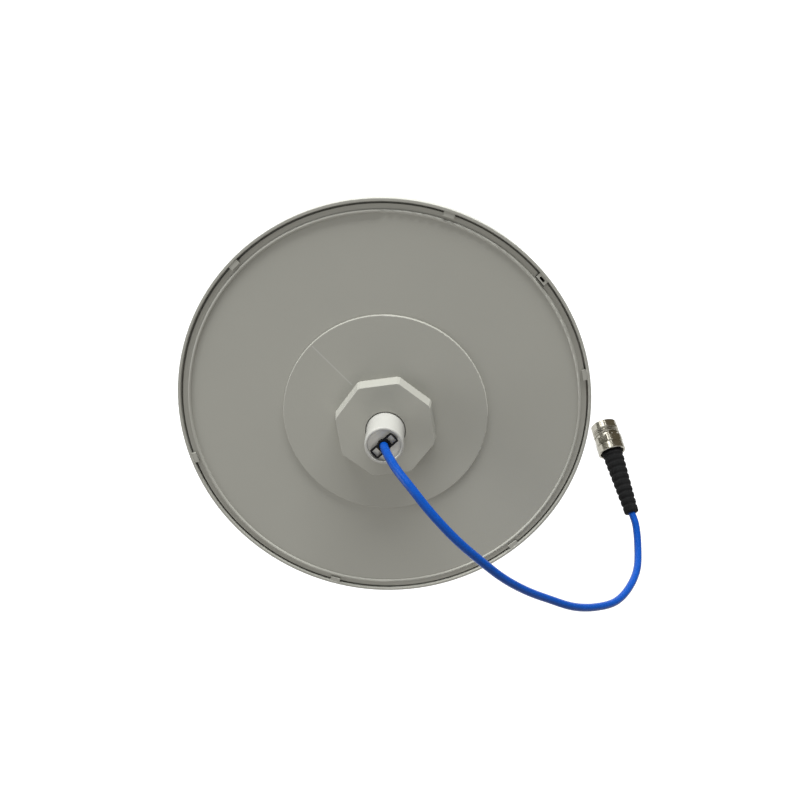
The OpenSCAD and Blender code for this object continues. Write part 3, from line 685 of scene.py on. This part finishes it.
class ANTENNA_OT_clip(bpy.types.Operator):
    """Makes the bow-tie clip that holds the cable in the tube's end"""
    bl_idname = "antenna.clip"
    bl_label = "Cable clip"

    def execute(self, context):
        sizes = context.scene.antenna_sizes
        nylon = moulded_black_nylon(context.scene.antenna_colours)
        edge = 0.25 * MM
        floor = recess_floor(sizes)
        middle = floor + sizes.clip_h - sizes.clip_frame / 2
        place = Matrix.Translation((0, 0, middle)) @ Matrix.Rotation(sizes.clip_turn, 4, "Z")
        frames = bpy.data.curves.new("cable_clip_frames", "CURVE")
        frames.dimensions = "2D"
        frames.fill_mode = "BOTH"
        frames.extrude = sizes.clip_frame / 2 - edge
        frames.bevel_depth = edge
        frames.bevel_resolution = 3
        frames.offset = -edge
        for outline in self.outlines(sizes):
            spline = frames.splines.new("POLY")
            spline.points.add(len(outline) - 1)
            for point, (x, y) in zip(spline.points, outline):
                point.co = (x, y, 0, 1)
            spline.use_cyclic_u = True
        clip = bpy.data.objects.new("cable_clip_frames", frames)
        clip.matrix_world = place
        seat(clip, nylon, "nylon_black", "cable_clip")
        self.collar(sizes, nylon, floor)
        return {"FINISHED"}

    def outlines(self, sizes):
        """The clip's outside with round ends, the hole for the cable and a window on either side."""
        end_steps, hole_steps = 8, 32
        half = sizes.clip_w / 2
        tip = math.asin(half / sizes.clip_r)
        end = on_circle(sizes.clip_r, [tip * (2 * i / end_steps - 1) for i in range(end_steps + 1)])
        hole = on_circle(sizes.clip_hole, turn(hole_steps))
        near = sizes.clip_hole + sizes.clip_bar
        far = sizes.clip_r - sizes.clip_bar
        wide = half - sizes.clip_bar
        window = [(near, -wide), (far, -wide), (far, wide), (near, wide)]
        return [end + opposite(end), hole, window, opposite(window)]

    def collar(self, sizes, nylon, floor):
        """The toothed collar that grips the cable, a little prouder than the frames."""
        inner = sizes.clip_hole
        outer = sizes.clip_collar
        edge = 0.2 * MM
        proud = 0.1 * MM
        low, high = floor, floor + sizes.clip_h + proud
        outline = [(inner, low), (outer, low), (outer, high - edge), (outer - edge, high),
                   (inner + edge, high), (inner, high - edge)]
        # a notch is cut where a wave round the collar is above notch_from
        notch = 0.45 * MM
        notch_from = 0.35
        steps_a_tooth = 8

        def toothed(r, z, angle):
            cut = math.cos(angle * sizes.clip_teeth) > notch_from
            return r - notch if cut and r > inner + notch else r

        collar = revolve("cable_clip_collar", outline, turn(sizes.clip_teeth * steps_a_tooth), toothed)
        seat(collar, nylon, "nylon_black", "cable_clip")


class ANTENNA_OT_boot(bpy.types.Operator):
    """Makes the ribbed rubber boot behind the jack"""
    bl_idname = "antenna.boot"
    bl_label = "Boot"

    def execute(self, context):
        sizes = context.scene.antenna_sizes
        rows, sides = 150, 64
        heights = [sizes.boot_l * i / rows for i in range(rows + 1)]
        outside = [(self.reach(sizes, z), z) for z in heights]
        inside = [(sizes.sleeve_bore, sizes.boot_l), (sizes.sleeve_bore, sizes.sleeve_start),
                  (sizes.boot_bore, sizes.sleeve_start), (sizes.boot_bore, 0)]
        boot = revolve("rubber_boot", outside + inside, turn(sides), place=PLUG, crease=50)
        seat(boot, moulded_rubber(context.scene.antenna_colours), "rubber_black", "boot")
        return {"FINISHED"}

    def reach(self, sizes, z):
        """Radius of the boot's outside: a taper, round grooves between its ribs and a rounded thin end."""
        # shares of the ribs' pitch: half a groove's width, and what stays plain at the thick end
        groove_share = 0.36
        plain_share = 0.5
        rounding = 0.9 * MM
        share = min(1.0, z / sizes.boot_taper)
        r = sizes.boot_r1 + (sizes.boot_r2 - sizes.boot_r1) * share
        pitch = sizes.boot_taper / (sizes.boot_ribs + plain_share)
        groove = groove_share * pitch
        nearest = round(z / pitch - groove_share / 2)
        off = abs(z - (nearest * pitch + groove / 2))
        if 1 <= nearest <= sizes.boot_ribs and off < groove:
            r -= sizes.boot_groove * (0.5 + 0.5 * math.cos(math.pi * off / groove))
        if z < rounding:
            r -= rounding - math.sqrt(rounding ** 2 - (rounding - z) ** 2)
        return r


class ANTENNA_OT_jack(bpy.types.Operator):
    """Makes the nickel jack with its hexagon and thread, and finishes what it holds"""
    bl_idname = "antenna.jack"
    bl_label = "Jack"

    def execute(self, context):
        sizes = context.scene.antenna_sizes
        colours = context.scene.antenna_colours
        nickel = plated_nickel(colours)
        jack = revolve("threaded_jack", self.outline(sizes), self.angles(sizes), self.shaper(sizes),
                       place=PLUG, crease=18)
        seat(jack, nickel, "nickel", "jack_body")
        dress(nickel, "crimp_sleeve")
        dress(turned_white_insulator("turned PTFE in the jack", PLUG_AXIS, colours), "jack_insulator")
        dress(plated_gold(colours), "jack_contact")
        return {"FINISHED"}

    def stations(self, sizes):
        """Where the hexagon, the neck and the barrel start along the plug, and where the nose ends it."""
        hexagon = sizes.jack_start + sizes.collar_l
        neck = hexagon + sizes.hex_l
        barrel = neck + sizes.neck_l
        nose = barrel + sizes.barrel_l
        return hexagon, neck, barrel, nose

    def outline(self, sizes):
        """Outside from the rear face to the nose, then back through the bores."""
        rear = sizes.jack_start
        hexagon, neck, barrel, nose = self.stations(sizes)
        edge = sizes.bevel
        corner = 1.5 * edge
        turned = sizes.hex_turned_r
        rows = 90
        thread = [(sizes.barrel_r, barrel + (sizes.barrel_l - edge) * i / rows) for i in range(rows + 1)]
        outside = [
            (sizes.socket_r, rear + edge / 2), (sizes.socket_r + edge / 2, rear),
            (sizes.collar_r - edge, rear), (sizes.collar_r, rear + edge),
            (sizes.collar_r, hexagon - edge), (sizes.collar_r - edge, hexagon),
            (turned - corner, hexagon), (turned, hexagon + corner),
            (turned, neck - corner), (turned - corner, neck),
            (sizes.neck_r, neck), (sizes.neck_r, barrel)]
        inside = [
            (sizes.barrel_r - edge, nose), (sizes.front_r + edge, nose), (sizes.front_r, nose - edge),
            (sizes.front_r, sizes.front_start), (sizes.insulator_r, sizes.front_start),
            (sizes.insulator_r, hexagon), (sizes.sleeve_bore, hexagon),
            (sizes.sleeve_bore, rear + sizes.socket_h), (sizes.socket_r, rear + sizes.socket_h)]
        return outside + thread + inside

    def angles(self, sizes):
        """Steps round the jack, some of which fall on the edges between the hexagon's flats and corners."""
        flat_steps, corner_steps = 14, 6
        half_flat = math.acos(sizes.hex_af / 2 / sizes.hex_turned_r)
        steps = [half_flat * (2 * i / flat_steps - 1) for i in range(flat_steps)]
        steps += [half_flat + (SIXTH - 2 * half_flat) * i / corner_steps for i in range(corner_steps)]
        return [(side + 0.5) * SIXTH + step for side in range(6) for step in steps]

    def shaper(self, sizes):
        """Cuts the flats into the hexagon and the thread into the barrel."""
        hexagon, neck, barrel, nose = self.stations(sizes)
        # shares of half a pitch, from the middle of a crest to the middle of a root
        crest_share, flank_share = 0.12, 0.7

        def shape(r, z, angle):
            if hexagon <= z <= neck and r > sizes.neck_r:
                off = angle % SIXTH - SIXTH / 2
                return min(r, sizes.hex_af / 2 / math.cos(off))
            if barrel < z < nose and r > sizes.front_r + sizes.bevel:
                turns = (z - barrel) / sizes.thread_pitch - angle / (2 * math.pi)
                ridge = abs(2 * (turns % 1) - 1)
                cut = max(0.0, min(1.0, (ridge - crest_share) / flank_share))
                fade = min(1.0, (z - barrel) / sizes.thread_pitch,
                           (barrel + sizes.thread_l - z) / sizes.thread_pitch)
                return r - sizes.thread_depth * cut * max(0.0, fade)
            return r

        return shape


class ANTENNA_OT_cable(bpy.types.Operator):
    """Lays the blue cable from the tube to the jack at its real length"""
    bl_idname = "antenna.cable"
    bl_label = "Cable"

    def execute(self, context):
        sizes = context.scene.antenna_sizes
        jacket = extruded_blue_jacket(context.scene.antenna_colours)
        feed = Vector((0, 0, TUBE_END - sizes.cable_tube))
        in_tube, in_plug, steps = 6, 5, 8
        points = [feed + Vector((0, 0, sizes.cable_tube * i / in_tube)) for i in range(in_tube + 1)]
        points += [Vector(p) * MM + Vector((0, 0, TUBE_END)) for p in CABLE_ROUTE]
        points += [BOOT_END - PLUG_AXIS * sizes.cable_run]
        points += [BOOT_END + PLUG_AXIS * sizes.cable_plug * i / in_plug for i in range(in_plug + 1)]
        line = smooth_line(points, steps)
        exit_point = Vector((0, 0, recess_floor(sizes)))
        inner = [p for p in line[:in_tube * steps] if p.z < exit_point.z] + [exit_point]
        outer = [exit_point] + line[len(inner) - 1:]
        hidden = tube_curve("coax_in_tube", inner, sizes.cable_d)
        seat(hidden, jacket, "jacket_blue", "cable")
        cable = tube_curve("coax_cable", outer, sizes.cable_d)
        seat(cable, jacket, "jacket_blue", "cable")
        return {"FINISHED"}


class ANTENNA_OT_inside(bpy.types.Operator):
    """Finishes the radiator, the feed and the screws inside the dome"""
    bl_idname = "antenna.inside"
    bl_label = "Inside"

    def execute(self, context):
        colours = context.scene.antenna_colours
        dress(moulded_black_nylon(colours), "tube_ring")
        dress(plated_zinc(colours), "ring_screws", "plane_screws", "standoff_screws")
        dress(turned_brass(colours), "feed_ferrule")
        dress(turned_white_insulator("turned PTFE at the feed", UP, colours), "feed_core", "feed_spacer")
        dress(drawn_silvered_wire(colours), "feed_wire")
        dress(rolled_aluminium(colours), "ground_plane")
        dress(spun_aluminium(colours), "radiator_cone")
        dress(turned_natural_nylon(colours), "standoffs")
        return {"FINISHED"}


class ANTENNA_PT_sidebar(bpy.types.Panel):
    """Lists the antenna's pieces, sizes, colours and studio"""
    bl_idname = "ANTENNA_PT_sidebar"
    bl_label = "Ceiling antenna"
    bl_space_type = "VIEW_3D"
    bl_region_type = "UI"
    bl_category = "Antenna"

    def draw(self, context):
        scene = context.scene
        for operator in OPERATORS:
            self.layout.operator(operator.bl_idname)
        for group in (scene.antenna_sizes, scene.antenna_colours, scene.antenna_stage):
            box = self.layout.box()
            for name in group.__annotations__:
                box.prop(group, name)


OPERATORS = (ANTENNA_OT_stage, ANTENNA_OT_mouldings, ANTENNA_OT_clip, ANTENNA_OT_boot, ANTENNA_OT_jack,
             ANTENNA_OT_cable, ANTENNA_OT_inside)
CLASSES = (AntennaSizes, AntennaColours, AntennaStage, *OPERATORS, ANTENNA_PT_sidebar)


def register():
    for cls in CLASSES:
        bpy.utils.register_class(cls)
    bpy.types.Scene.antenna_sizes = PointerProperty(type=AntennaSizes)
    bpy.types.Scene.antenna_colours = PointerProperty(type=AntennaColours)
    bpy.types.Scene.antenna_stage = PointerProperty(type=AntennaStage)


def unregister():
    del bpy.types.Scene.antenna_stage
    del bpy.types.Scene.antenna_colours
    del bpy.types.Scene.antenna_sizes
    for cls in reversed(CLASSES):
        bpy.utils.unregister_class(cls)


def main():
    register()
    bpy.ops.antenna.stage()
    bpy.ops.antenna.mouldings()
    bpy.ops.antenna.clip()
    bpy.ops.antenna.boot()
    bpy.ops.antenna.jack()
    bpy.ops.antenna.cable()
    bpy.ops.antenna.inside()


if __name__ == "__main__":
    main()
